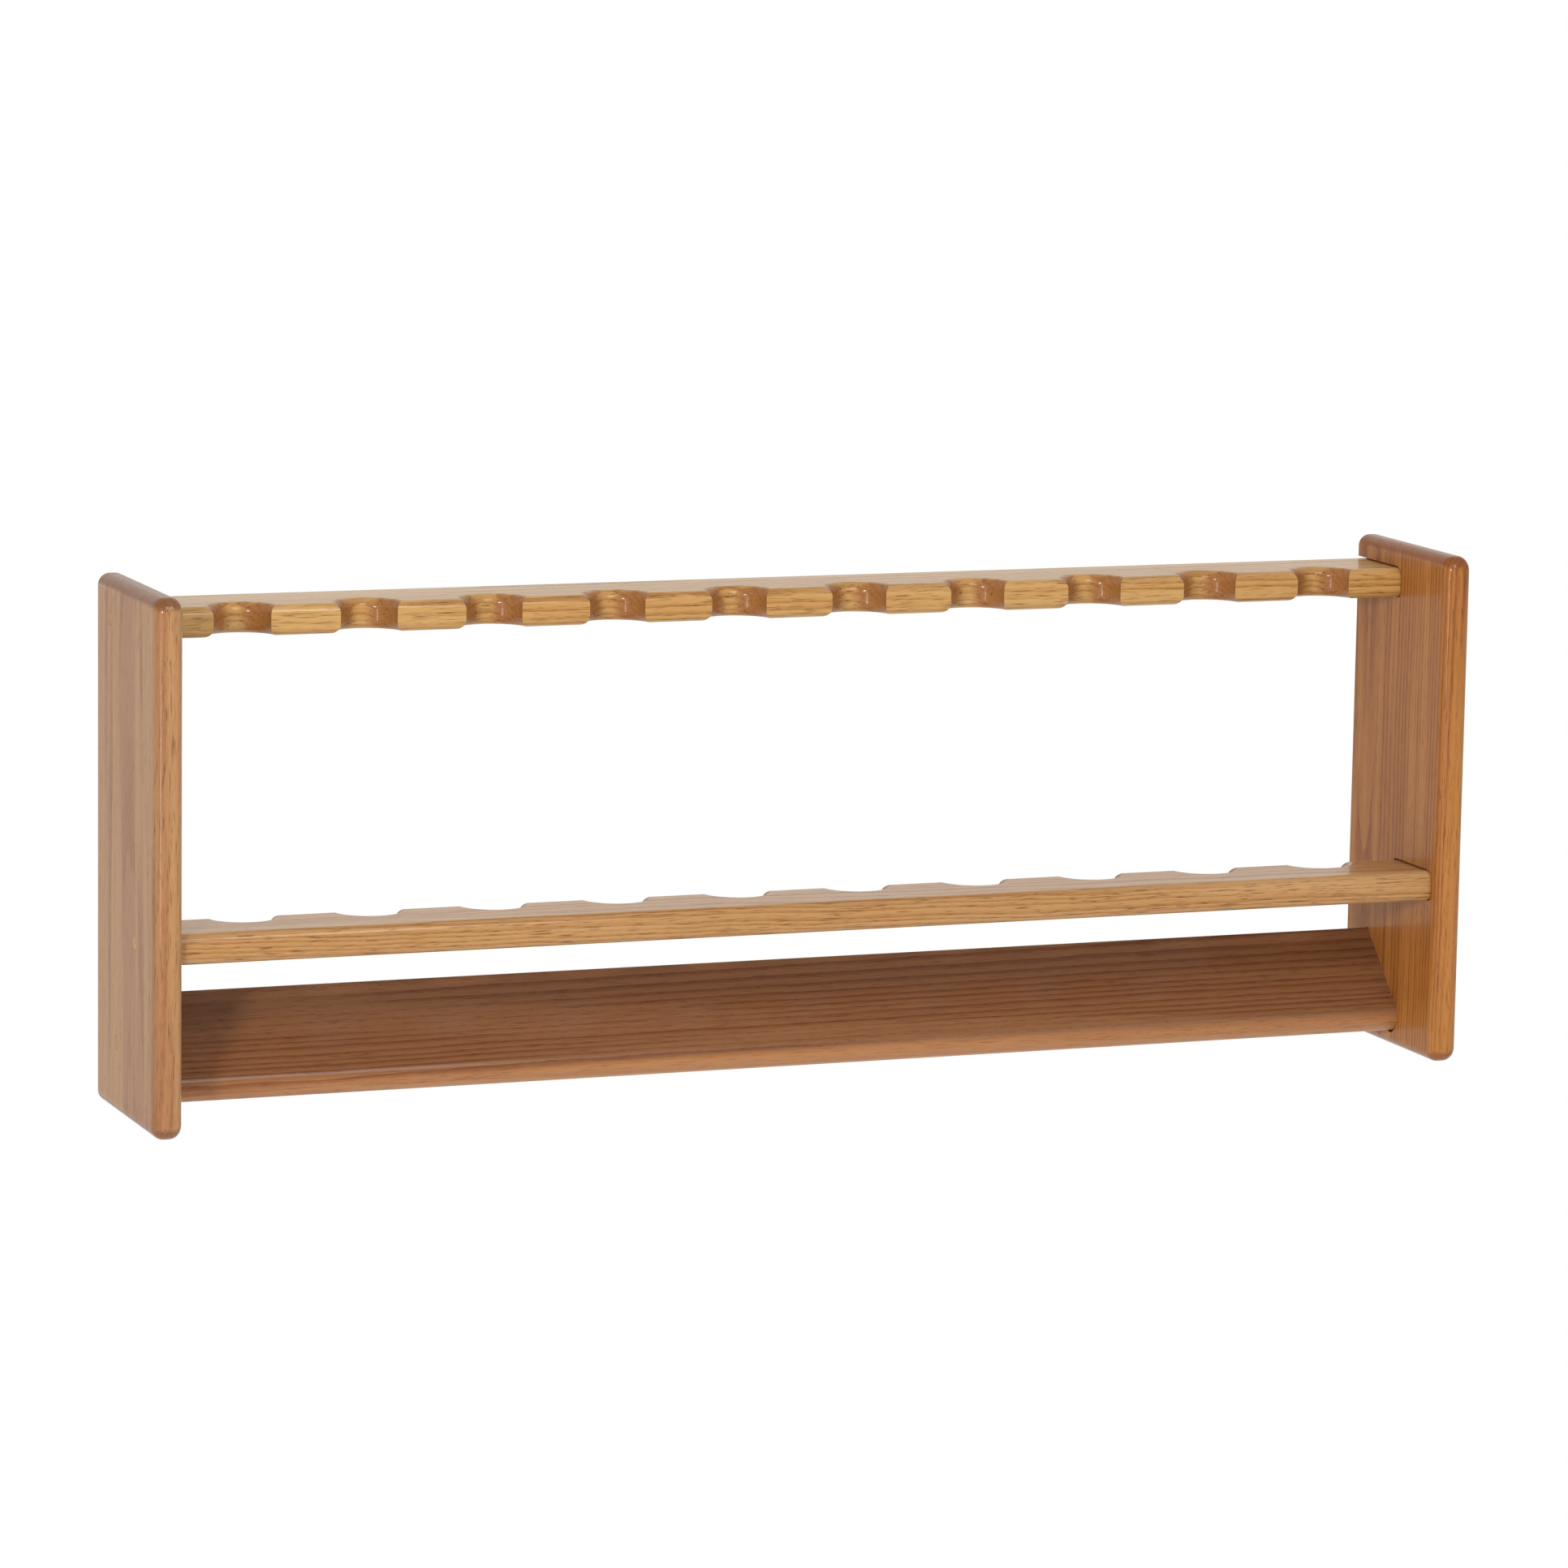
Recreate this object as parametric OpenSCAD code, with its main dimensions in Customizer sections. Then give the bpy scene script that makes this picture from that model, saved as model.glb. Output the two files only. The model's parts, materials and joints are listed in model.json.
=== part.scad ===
// Wall cue rack: two side panels, two notched rails and a sloping butt board,
// screwed and plugged through the panels, and hung on two keyhole plates.
//
// X runs along the rack, Y from the front (-) to the wall (+), Z up.
// The origin is under the middle of the rack, level with the panels' bottom edges.

/* [Rack] */
// Length over the two side panels
rack_l = 914.4; // [890:0.1:960]
// Depth from the panels' front edges to the wall
rack_d = 136.5; // [134:0.1:150]
// Height of the side panels
rack_h = 345.4; // [340:0.1:420]

/* [Side panels] */
// Thickness of a side panel
panel_t = 19; // [18:0.1:22]
// Radius routed along a panel's top, front and bottom edges
panel_round = 7.8; // [5:0.1:8.5]
// Radius of a panel's two front corners, seen from the side
panel_corner = 10; // [8.6:0.1:16]
// Depth of the pockets that take the board ends
pocket_depth = 6.4; // [4:0.1:7]
// Gap between a board end and the pocket round it
pocket_gap = 0.6; // [0.3:0.05:1]
// Gap above a rail in its pocket
upper_gap = 1; // [0.3:0.05:1.2]
// Radius that the pocket cutter leaves in a corner
pocket_round = 3.2; // [2:0.1:5]

/* [Notched rails] */
// Thickness of both rails
rail_t = 20; // [18:0.1:22]
// Radius routed along the rails' edges and round the notches
rail_round = 6.35; // [3:0.05:8]
// Distance from the panels' front edges to the top rail's front face
top_rail_front = 70.5; // [68:0.1:76]
// Height of the top rail's middle
top_rail_z = 319.7; // [300:0.1:322]
// Distance from the panels' front edges to the middle rail's front face
mid_rail_front = 11.3; // [9:0.1:14]
// Height of the middle rail's middle
mid_rail_z = 120; // [115:0.1:180]

/* [Cue notches] */
// Number of notches in each rail
notch_count = 10; // [1:1:10]
// Distance from one notch to the next
notch_pitch = 84.5; // [62:0.1:86]
// Radius of the half-round notches
notch_r = 19.05; // [15:0.05:21]

/* [Butt board] */
// Thickness of the butt board
butt_t = 21; // [19.2:0.1:22]
// Width of the butt board up its slope
butt_w = 76.8; // [60:0.1:78]
// Slope of the butt board from level
butt_slope = 45; // [35:1:50]
// Distance from the panels' front edges to the butt board's upper edge
butt_top_y = 105.4; // [100:0.1:112]
// Height of the butt board's upper edge
butt_top_z = 76.6; // [74:0.1:84]
// Radius of the butt board's front nose
nose_round = 9.5; // [6:0.05:10.4]
// Radius eased on the butt board's back edges
back_ease = 1.6; // [0.5:0.1:3]

/* [Assembly screws and plugs] */
// Radius of the wooden plugs and of their counterbores
plug_r = 4.75; // [4.5:0.05:6]
// Length of the plugs
plug_l = 5; // [4:0.1:6]
// Length of an assembly screw from head to tip
screw_l = 38; // [25:1:50]
// Outside radius of an assembly screw
screw_r = 2.1; // [1.8:0.05:2.5]

/* [Keyhole hangers] */
// Width of a hanger plate
hanger_w = 14.5; // [13:0.1:15]
// Length of a hanger plate
hanger_l = 44; // [40:0.5:60]
// Thickness of a hanger plate
hanger_t = 1.6; // [1.2:0.1:2.5]
// Height of the hanger plates' middle
hanger_z = 272; // [180:1:274]
// Radius of the hole that passes a wall screw's head
keyhole_r = 4.75; // [4.5:0.05:5]
// Radius of the slot that holds a wall screw's neck
keyhole_slot_r = 2.4; // [2:0.05:2.6]

/* [Hidden] */
$fn = 96;
over = 1;            // how far a cutter runs past the face it opens

// Planes across the rack, on its right-hand side
outer_x = rack_l / 2;
inner_x = outer_x - panel_t;
floor_x = inner_x + pocket_depth;
panel_x = outer_x - panel_t / 2;

// Planes from front to wall
front_y = -rack_d / 2;
wall_y = rack_d / 2;
top_front_y = front_y + top_rail_front;
mid_front_y = front_y + mid_rail_front;
top_rail_w = wall_y - top_front_y;
mid_rail_w = top_front_y - mid_front_y;

// The notches of both rails face each other on the plane of the top rail's front
notch_y = top_front_y;
notch_xs = [for (i = [0:notch_count - 1]) (i - (notch_count - 1) / 2) * notch_pitch];

// Screw places [y, z] in the board ends, the butt board's a way down from its upper edge
top_joint = [top_front_y + 0.55 * top_rail_w, top_rail_z];
mid_joint = [mid_front_y + 0.62 * mid_rail_w, mid_rail_z];
butt_screw_w = 0.4 * butt_w;
butt_joint = [
    front_y + butt_top_y - butt_screw_w * cos(butt_slope) + butt_t / 2 * sin(butt_slope),
    butt_top_z - butt_screw_w * sin(butt_slope) - butt_t / 2 * cos(butt_slope)
];

// Wood screw proportions
head_r = 2 * screw_r;
head_h = 2.6;
rim_h = 0.4;
core_r = 0.7 * screw_r;
thread_pitch = 2.8;
bare_l = 13;
tip_l = 5;
driver_w = 2.6;
driver_depth = 2;

// Hanger proportions
hanger_corner = 3;
keyhole_travel = 10;
head_pocket_r = 5.5;
head_pocket_depth = 7;
hanger_hole_reach = 17;
hanger_screw_r = 1.7;
hanger_screw_l = 14;

// ---------- shared shapes ----------

// Rectangle from the origin, with a radius for each corner: from the origin anticlockwise
module soft_rect(size, radii) {
    corners = [[0, 0], [size[0], 0], size, [0, size[1]]];
    difference() {
        square(size);
        for (i = [0:3])
            if (radii[i] > 0)
                translate(corners[i]) rotate(90 * i) corner_waste(radii[i]);
    }
}

// What a rounding cutter of radius r takes off a square corner at the origin
module corner_waste(r) {
    difference() {
        translate([-over, -over]) square(r + over);
        translate([r, r]) circle(r);
    }
}

// Extrudes a Y-Z outline along X, from x0 to x1
module along_x(x0, x1) {
    translate([x0, 0, 0]) rotate([90, 0, 90]) linear_extrude(x1 - x0) children();
}

// Puts a shape made along +Z at a joint, heading in from the right-hand outer face
module at_joint(joint) {
    translate([outer_x, joint[0], joint[1]]) rotate([0, -90, 0]) children();
}

module other_side() {
    mirror([1, 0, 0]) children();
}

// ---------- side panels ----------

module panel_blank() {
    r = panel_round;
    translate([panel_x, 0, 0]) difference() {
        intersection() {
            linear_extrude(rack_h)
                translate([-panel_t / 2, front_y]) soft_rect([panel_t, rack_d], [r, r, 0, 0]);
            rotate([90, 0, 0]) linear_extrude(rack_d, center = true)
                translate([-panel_t / 2, 0]) soft_rect([panel_t, rack_h], [r, r, r, r]);
        }
        panel_corner_waste();
        translate([0, 0, rack_h]) mirror([0, 0, 1]) panel_corner_waste();
    }
}

// What is taken off a panel's lower front corner: a square block but for a wheel with a soft rim
module panel_corner_waste() {
    wide = panel_t + 2 * over;
    side = panel_corner + over;
    difference() {
        translate([-wide / 2, front_y - over, -over]) cube([wide, side, side]);
        translate([0, front_y + panel_corner, panel_corner]) rotate([0, 90, 0])
            rotate_extrude() translate([0, -panel_t / 2])
                soft_rect([panel_corner, panel_t], [0, panel_round, panel_round, 0]);
    }
}

// The top pocket runs out through the back edge, the middle one is closed
module top_pocket() {
    upper_r = rail_round + pocket_gap;
    translate([top_front_y - pocket_gap, top_rail_z - rail_t / 2])
        soft_rect([top_rail_w + pocket_gap + over, rail_t + upper_gap],
                  [pocket_round, 0, 0, upper_r]);
}

module mid_pocket() {
    upper_r = rail_round + pocket_gap;
    translate([mid_front_y - pocket_gap, mid_rail_z - rail_t / 2])
        soft_rect([mid_rail_w + 2 * pocket_gap, rail_t + upper_gap],
                  [pocket_round, pocket_round, upper_r, upper_r]);
}

module butt_pocket() {
    on_slope()
        translate([-butt_w - pocket_gap, -butt_t - pocket_gap])
            soft_rect([butt_w + 2 * pocket_gap, butt_t + pocket_gap],
                      [nose_round - 2, pocket_round, back_ease, nose_round + pocket_gap]);
}

// Counterbore for the plug, countersink for the head and a clear hole for the shank
module joint_drilling() {
    translate([0, 0, -over]) cylinder(r = plug_r, h = plug_l + over);
    translate([0, 0, plug_l]) cylinder(r = head_r, h = rim_h);
    translate([0, 0, plug_l + rim_h]) cylinder(r1 = head_r, r2 = screw_r, h = head_h);
    cylinder(r = screw_r, h = panel_t);
}

module side_panel() {
    difference() {
        panel_blank();
        along_x(inner_x - over, floor_x) top_pocket();
        along_x(inner_x - over, floor_x) mid_pocket();
        along_x(inner_x - over, floor_x) butt_pocket();
        at_joint(top_joint) joint_drilling();
        at_joint(mid_joint) joint_drilling();
        at_joint(butt_joint) joint_drilling();
        hanger_recess();
    }
}

module right_panel() {
    color("#a8784f") side_panel();
}

module left_panel() {
    color("#b58f70") other_side() side_panel();
}

// ---------- notched rails ----------

// Cuts one notch down through a rail, with the rounding that follows its two rims
module notch_cutter() {
    rotate_extrude() {
        translate([0, -rail_t / 2 - over]) square([notch_r, rail_t + 2 * over]);
        rim_waste();
        mirror([0, 1]) rim_waste();
    }
}

module rim_waste() {
    half = rail_t / 2;
    difference() {
        translate([notch_r - 0.5, half - rail_round])
            square([rail_round + 0.5, rail_round + over]);
        translate([notch_r + rail_round, half - rail_round]) circle(rail_round);
    }
}

// A rail whose section starts at front_face, with all four long edges rounded
module notched_rail(front_face, width, z) {
    r = rail_round;
    difference() {
        along_x(-floor_x, floor_x)
            translate([front_face, z - rail_t / 2]) soft_rect([width, rail_t], [r, r, r, r]);
        for (x = notch_xs) translate([x, notch_y, z]) notch_cutter();
    }
}

// Drills both ends of a board for the assembly screws
module drilled_ends(joint) {
    difference() {
        children();
        at_joint(joint) screw_hole();
        other_side() at_joint(joint) screw_hole();
    }
}

module screw_hole() {
    cylinder(r = screw_r, h = plug_l + screw_l + over);
}

module top_rail() {
    color("#b98a4e") drilled_ends(top_joint)
        notched_rail(top_front_y, top_rail_w, top_rail_z);
}

module middle_rail() {
    color("#b5844c") drilled_ends(mid_joint)
        notched_rail(mid_front_y, mid_rail_w, mid_rail_z);
}

// ---------- butt board ----------

// Lays out a section whose upper back corner is at the origin, along the slope
module on_slope() {
    translate([front_y + butt_top_y, butt_top_z]) rotate(butt_slope) children();
}

module butt_board() {
    color("#8f5a3a") drilled_ends(butt_joint)
        along_x(-floor_x, floor_x) on_slope()
            translate([-butt_w, -butt_t])
                soft_rect([butt_w, butt_t], [nose_round, back_ease, back_ease, nose_round]);
}

// ---------- assembly screws and plugs ----------

// Half outline of a wood screw, from the middle of its head to its tip
function screw_outline(r, core, length, bare, pitch) = concat(
    [[0, 0], [2 * r, 0], [2 * r, rim_h], [r, rim_h + head_h], [r, bare]],
    [for (z = [bare + 0.5 * pitch : pitch : length - tip_l])
        each [[core, z - 0.3 * pitch], [r, z - 0.05 * pitch],
              [r, z + 0.05 * pitch], [core, z + 0.3 * pitch]]],
    [[core, length - tip_l + 0.4 * pitch], [0, length]]
);

module wood_screw() {
    difference() {
        rotate_extrude()
            polygon(screw_outline(screw_r, core_r, screw_l, bare_l, thread_pitch));
        translate([-driver_w / 2, -driver_w / 2, -over])
            cube([driver_w, driver_w, driver_depth + over]);
    }
}

module assembly_screw(joint) {
    color("#c9ae62") at_joint(joint) translate([0, 0, plug_l]) wood_screw();
}

module right_top_screw() assembly_screw(top_joint);
module right_middle_screw() assembly_screw(mid_joint);
module right_butt_screw() assembly_screw(butt_joint);
module left_top_screw() other_side() assembly_screw(top_joint);
module left_middle_screw() other_side() assembly_screw(mid_joint);
module left_butt_screw() other_side() assembly_screw(butt_joint);

module plug(joint, wood) {
    color(wood) at_joint(joint) cylinder(r = plug_r, h = plug_l);
}

module right_top_plug() plug(top_joint, "#bd9a5c");
module right_middle_plug() plug(mid_joint, "#d2b594");
module right_butt_plug() plug(butt_joint, "#a67c4c");
module left_top_plug() other_side() plug(top_joint, "#bd9a5c");
module left_middle_plug() other_side() plug(mid_joint, "#d2b594");
module left_butt_plug() other_side() plug(butt_joint, "#a67c4c");

// ---------- keyhole hangers ----------

// Puts a shape made in X-Z, with +Y out to the wall, on the right panel's back edge
module at_hanger() {
    translate([panel_x, wall_y, hanger_z]) children();
}

// Extrudes an X-Z outline from y0 to y1
module along_y(y0, y1) {
    translate([0, y1, 0]) rotate([90, 0, 0]) linear_extrude(y1 - y0) children();
}

module hanger_outline() {
    translate([-hanger_w / 2, -hanger_l / 2])
        soft_rect([hanger_w, hanger_l], [for (i = [0:3]) hanger_corner]);
}

// Round-ended slot of radius r, from the entry hole up by the keyhole's travel
module keyhole_slot(r) {
    translate([0, -keyhole_travel / 2]) circle(r);
    translate([0, keyhole_travel / 2]) circle(r);
    translate([-r, -keyhole_travel / 2]) square([2 * r, keyhole_travel]);
}

module at_hanger_screw(end) {
    translate([0, 0, end * hanger_hole_reach]) rotate([90, 0, 0]) children();
}

// Shallow recess for the plate, with a deeper slot for the wall screw's head
module hanger_recess() {
    at_hanger() {
        along_y(-hanger_t, over) hanger_outline();
        along_y(-hanger_t - head_pocket_depth, over) keyhole_slot(head_pocket_r);
        for (end = [-1, 1])
            at_hanger_screw(end) cylinder(r = hanger_screw_r, h = hanger_screw_l);
    }
}

module hanger() {
    color("#b9b6ae") at_hanger() difference() {
        along_y(-hanger_t, 0) hanger_outline();
        along_y(-hanger_t - over, over) {
            keyhole_slot(keyhole_slot_r);
            translate([0, -keyhole_travel / 2]) circle(keyhole_r);
        }
        for (end = [-1, 1])
            at_hanger_screw(end) {
                cylinder(r1 = 2 * hanger_screw_r, r2 = hanger_screw_r, h = hanger_t);
                cylinder(r = hanger_screw_r, h = hanger_t + over);
            }
    }
}

module hanger_screw(end) {
    r = hanger_screw_r;
    core = 0.7 * r;
    pitch = 1.8;
    outline = concat(
        [[0, 0], [2 * r, 0], [r, hanger_t], [r, 3]],
        [for (z = [4 : pitch : hanger_screw_l - 3])
            each [[core, z - 0.3 * pitch], [r, z - 0.05 * pitch],
                  [r, z + 0.05 * pitch], [core, z + 0.3 * pitch]]],
        [[core, hanger_screw_l - 2], [0, hanger_screw_l]]
    );
    color("#b3aea2") at_hanger() at_hanger_screw(end) difference() {
        rotate_extrude() polygon(outline);
        translate([-r, -0.4, -over]) cube([2 * r, 0.8, over + 0.9]);
        translate([-0.4, -r, -over]) cube([0.8, 2 * r, over + 0.9]);
    }
}

module right_hanger() hanger();
module left_hanger() other_side() hanger();
module right_hanger_upper_screw() hanger_screw(1);
module right_hanger_lower_screw() hanger_screw(-1);
module left_hanger_upper_screw() other_side() hanger_screw(1);
module left_hanger_lower_screw() other_side() hanger_screw(-1);

left_panel();
right_panel();
top_rail();
middle_rail();
butt_board();
left_top_screw();
left_middle_screw();
left_butt_screw();
right_top_screw();
right_middle_screw();
right_butt_screw();
left_top_plug();
left_middle_plug();
left_butt_plug();
right_top_plug();
right_middle_plug();
right_butt_plug();
left_hanger();
right_hanger();
left_hanger_upper_screw();
left_hanger_lower_screw();
right_hanger_upper_screw();
right_hanger_lower_screw();
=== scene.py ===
# %% [markdown]
# # A wall cue rack in red oak
#
# The rack is five boards of lacquered red oak: two side panels, two notched rails
# and a sloping board that the cue butts stand on. Screws go in through the panels,
# and small oak plugs hide their heads. Two keyhole plates on the back hang it on a
# wall. This script loads the measured model as a fixed frame, rebuilds the wooden
# pieces with the softness that a router and sandpaper leave, and gives each board
# its own grain.

# %% Load the frame
import json
import math

import bmesh
import bpy
from mathutils import Matrix, Vector


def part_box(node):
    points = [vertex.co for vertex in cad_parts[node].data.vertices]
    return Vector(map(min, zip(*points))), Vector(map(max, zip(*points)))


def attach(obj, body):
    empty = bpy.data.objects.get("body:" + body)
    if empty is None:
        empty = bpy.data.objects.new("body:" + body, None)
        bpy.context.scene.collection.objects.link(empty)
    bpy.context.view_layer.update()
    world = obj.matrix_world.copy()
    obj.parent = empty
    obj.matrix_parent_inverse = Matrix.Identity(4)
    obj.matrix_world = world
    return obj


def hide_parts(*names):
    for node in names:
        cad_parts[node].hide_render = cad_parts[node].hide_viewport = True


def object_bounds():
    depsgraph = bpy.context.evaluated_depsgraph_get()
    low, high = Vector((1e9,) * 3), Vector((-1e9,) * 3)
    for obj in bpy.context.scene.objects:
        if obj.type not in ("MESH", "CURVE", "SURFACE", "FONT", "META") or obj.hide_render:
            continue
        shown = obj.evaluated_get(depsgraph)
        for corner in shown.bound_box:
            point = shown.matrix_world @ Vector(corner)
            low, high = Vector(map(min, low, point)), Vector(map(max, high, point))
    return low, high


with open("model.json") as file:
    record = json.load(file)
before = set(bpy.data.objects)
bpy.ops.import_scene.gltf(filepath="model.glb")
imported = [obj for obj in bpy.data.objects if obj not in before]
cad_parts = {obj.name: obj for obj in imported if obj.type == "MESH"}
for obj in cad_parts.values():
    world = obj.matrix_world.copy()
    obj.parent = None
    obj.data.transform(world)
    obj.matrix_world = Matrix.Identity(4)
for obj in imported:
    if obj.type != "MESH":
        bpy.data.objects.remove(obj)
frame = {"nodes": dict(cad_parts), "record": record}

cad_low, cad_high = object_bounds()
print("the rack measures", [round(side, 4) for side in cad_high - cad_low], "metres")

# %% [markdown]
# Every place below comes from the frame: the box of each board, and the ten slots
# that the record says the cues pass through. Only the radii that a box can't tell,
# such as a routed edge, are given here by name, in metres.

# %% Sizes that the pieces share
MM = 0.001
panel_round = 7.8 * MM     # routed along the panels' top, front and bottom edges
panel_corner = 10 * MM     # sawn at the panels' two front corners, seen from the side
rail_round = 6.35 * MM     # routed along the rails and round their notches
nose_round = 9.5 * MM      # routed along the front of the butt board
back_ease = 1.6 * MM       # sanded along the back of the butt board
notch_radius = 19.05 * MM
butt_thick = 21 * MM
butt_slope = math.radians(45)
pocket_gap = 0.6 * MM
upper_gap = 1 * MM         # above a rail in its pocket
pocket_round = 3.2 * MM    # the corner that the pocket cutter leaves
screw_radius = 2.1 * MM
head_radius = 2 * screw_radius
plug_radius = 4.7 * MM
plug_hole_radius = 4.8 * MM
over = 2 * MM              # how far a cutter runs past the face it opens

left_low, left_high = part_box("left_panel")
right_low, right_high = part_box("right_panel")
top_low, top_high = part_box("top_rail")
mid_low, mid_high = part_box("middle_rail")
butt_low, butt_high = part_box("butt_board")
slots = [Vector(o["box_m"][0]).lerp(Vector(o["box_m"][1]), 0.5)
         for o in frame["record"]["physics"]["openings"]]
print(len(slots), "cue slots,", round((slots[1].x - slots[0].x) / MM, 1), "mm apart")

# %% [markdown]
# ## Camera
#
# The rack is seen from the left and a little above, from more than four metres away
# with a long lens, so its parallel edges stay nearly parallel. A long lens could be
# framed with the Track To constraint, but a camera held level by hand leans slightly,
# so its three directions are worked out from an azimuth, an elevation and a roll.

# %% Camera
camera_place = Vector((-1.5796, -4.0551, 0.8836))
camera_azimuth = math.radians(21.162)
camera_elevation = math.radians(8.930)
camera_roll = math.radians(0.93)
camera_lens = 153.41     # millimetres, on a 36 mm sensor

ahead = Vector((math.sin(camera_azimuth) * math.cos(camera_elevation),
                math.cos(camera_azimuth) * math.cos(camera_elevation),
                -math.sin(camera_elevation)))
level = Vector((math.cos(camera_azimuth), -math.sin(camera_azimuth), 0))
upward = level.cross(ahead)
right_hand = level * math.cos(camera_roll) + upward * math.sin(camera_roll)
overhead = upward * math.cos(camera_roll) - level * math.sin(camera_roll)

bpy.ops.object.camera_add()
camera = bpy.context.object
camera.data.sensor_width = 36
camera.data.lens = camera_lens
camera.matrix_world = Matrix.Translation(camera_place) @ Matrix(
    (right_hand, overhead, -ahead)).transposed().to_4x4()
bpy.context.scene.camera = camera
print("camera", round(camera_place.length, 2), "m away, lens", camera_lens, "mm")

# %% [markdown]
# ## Tools for working by hand
#
# An operator in Blender acts on whatever is selected. So each tool first leaves one
# object selected, goes into edit mode with nothing chosen, and then picks edges by
# where they are. That is what a person does with the mouse, written down.

# %% Select and pick
def only(piece):
    """Leaves one object selected and active."""
    bpy.ops.object.select_all(action="DESELECT")
    piece.select_set(True)
    bpy.context.view_layer.objects.active = piece


def pick_edges(piece, test):
    """Goes into edit mode and selects the edges whose two ends pass the test."""
    only(piece)
    bpy.ops.object.mode_set(mode="EDIT")
    bpy.ops.mesh.select_mode(type="EDGE")
    bpy.ops.mesh.select_all(action="DESELECT")
    shape = bmesh.from_edit_mesh(piece.data)
    picked = [edge for edge in shape.edges if test(edge.verts[0].co, edge.verts[1].co)]
    for edge in picked:
        edge.select_set(True)
    bmesh.update_edit_mesh(piece.data)
    return len(picked)


def near(a, b):
    """True where two coordinates are the same but for rounding."""
    return abs(a - b) < 0.01 * MM


# %% [markdown]
# Four more tools do what a workshop does: cut a block to size, run a router along its
# edges, saw or drill a shape out of it, and tilt it. The router is the Bevel operator,
# and the saw is a Boolean modifier, applied at once so that its cutter can be thrown
# away. Its exact solver keeps the cut clean where faces nearly touch.

# %% Blocks, rounded edges and cuts
def block(name, low, high):
    """Adds a cube and stretches it to fill a box, with its place in its mesh."""
    bpy.ops.object.select_all(action="DESELECT")
    bpy.ops.mesh.primitive_cube_add(size=1, location=low.lerp(high, 0.5), scale=high - low)
    piece = bpy.context.object
    piece.name = name
    bpy.ops.object.transform_apply(location=True, rotation=True, scale=True)
    return piece


def round_edges(piece, radius, steps, test):
    """Rounds the edges that pass the test with the Bevel operator, as a router does."""
    count = pick_edges(piece, test)
    bpy.ops.mesh.bevel(offset=radius, offset_type="OFFSET", segments=steps, profile=0.5,
                       affect="EDGES", clamp_overlap=False)
    bpy.ops.object.mode_set(mode="OBJECT")
    return count


def round_corner(piece, run, corner, radius, steps=8):
    """Rounds the one edge that runs along an axis, 0 for X or 1 for Y, at a corner."""
    others = [axis for axis in range(3) if axis != run]

    def at_corner(a, b):
        return all(near(a[axis], place) and near(b[axis], place)
                   for axis, place in zip(others, corner))
    return round_edges(piece, radius, steps, at_corner)


def cut(piece, cutter):
    """Takes the cutter's shape out of the piece, and throws the cutter away."""
    only(piece)
    tool = piece.modifiers.new("cut", "BOOLEAN")
    tool.operation = "DIFFERENCE"
    tool.solver = "EXACT"
    tool.object = cutter
    bpy.ops.object.modifier_apply(modifier=tool.name)
    bpy.data.objects.remove(cutter)


def place_turned(piece, turn, centre):
    """Turns a piece about a point and applies the turn to its mesh."""
    only(piece)
    piece.data.transform(Matrix.Translation(-centre))
    piece.rotation_euler = turn
    piece.location = centre
    bpy.ops.object.transform_apply(location=True, rotation=True, scale=True)


# %% [markdown]
# A routed edge looks right only if the flat faces beside it stay flat. Smooth shading
# blends the normals of all the faces at a corner, and a large flat face next to a row
# of thin ones picks up a false bulge. The Weighted Normal modifier lets the largest
# face win, so the light stays even over the board and turns only on the round.

# %% Finish a mesh
crease = math.radians(32)   # faces that meet more sharply than this keep a crisp edge


def finish_mesh(piece):
    """Merges doubles, points the faces outwards, and shades rounds smooth and flats flat."""
    only(piece)
    bpy.ops.object.mode_set(mode="EDIT")
    bpy.ops.mesh.select_all(action="SELECT")
    bpy.ops.mesh.remove_doubles(threshold=0.005 * MM)
    bpy.ops.mesh.normals_make_consistent(inside=False)
    bpy.ops.object.mode_set(mode="OBJECT")
    bpy.ops.object.shade_smooth_by_angle(angle=crease)
    weigh = piece.modifiers.new("even light", "WEIGHTED_NORMAL")
    weigh.keep_sharp = True
    bpy.ops.object.modifier_apply(modifier=weigh.name)
    print(piece.name, len(piece.data.polygons), "faces")


# %% [markdown]
# ## Stepped drill
#
# A panel is drilled from outside in three steps: a counterbore for the plug, a cone
# for the screw's head and a clear hole for its shank. The cutter is one cylinder
# whose far end is extruded and narrowed step by step, like the drill bit itself.

# %% Rods and their ends
def rod(name, radius, depth, centre, turn=(0, 0, 0), sides=48):
    """Adds a cylinder about a point, with its place and turn in its mesh."""
    bpy.ops.object.select_all(action="DESELECT")
    bpy.ops.mesh.primitive_cylinder_add(vertices=sides, radius=radius, depth=depth,
                                        location=centre, rotation=turn)
    piece = bpy.context.object
    piece.name = name
    bpy.ops.object.transform_apply(location=True, rotation=True, scale=True)
    return piece


def pick_end(piece, direction):
    """In edit mode, selects the end face that looks a certain way."""
    only(piece)
    bpy.ops.object.mode_set(mode="EDIT")
    bpy.ops.mesh.select_mode(type="FACE")
    bpy.ops.mesh.select_all(action="DESELECT")
    shape = bmesh.from_edit_mesh(piece.data)
    end = max(shape.faces, key=lambda face: face.calc_center_median() @ direction)
    end.select_set(True)
    bmesh.update_edit_mesh(piece.data)
    return end.calc_center_median().copy()


# %% [markdown]
# The drill runs from outside the panel to inside it. Each step below narrows the end
# face where it is, or draws it out along -X, and the new side faces follow.

# %% Stepped drill
head_flat = 0.4 * MM    # the straight rim of a screw's head
head_taper = 2.6 * MM   # the cone below it


def step_in(distance, share, centre):
    """Extrudes the picked end along -X and scales it about the axis."""
    if distance:
        bpy.ops.mesh.extrude_region_move(TRANSFORM_OT_translate={"value": (-distance, 0, 0)})
    if share != 1:
        bpy.ops.transform.resize(value=(1, share, share), center_override=centre)


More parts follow.
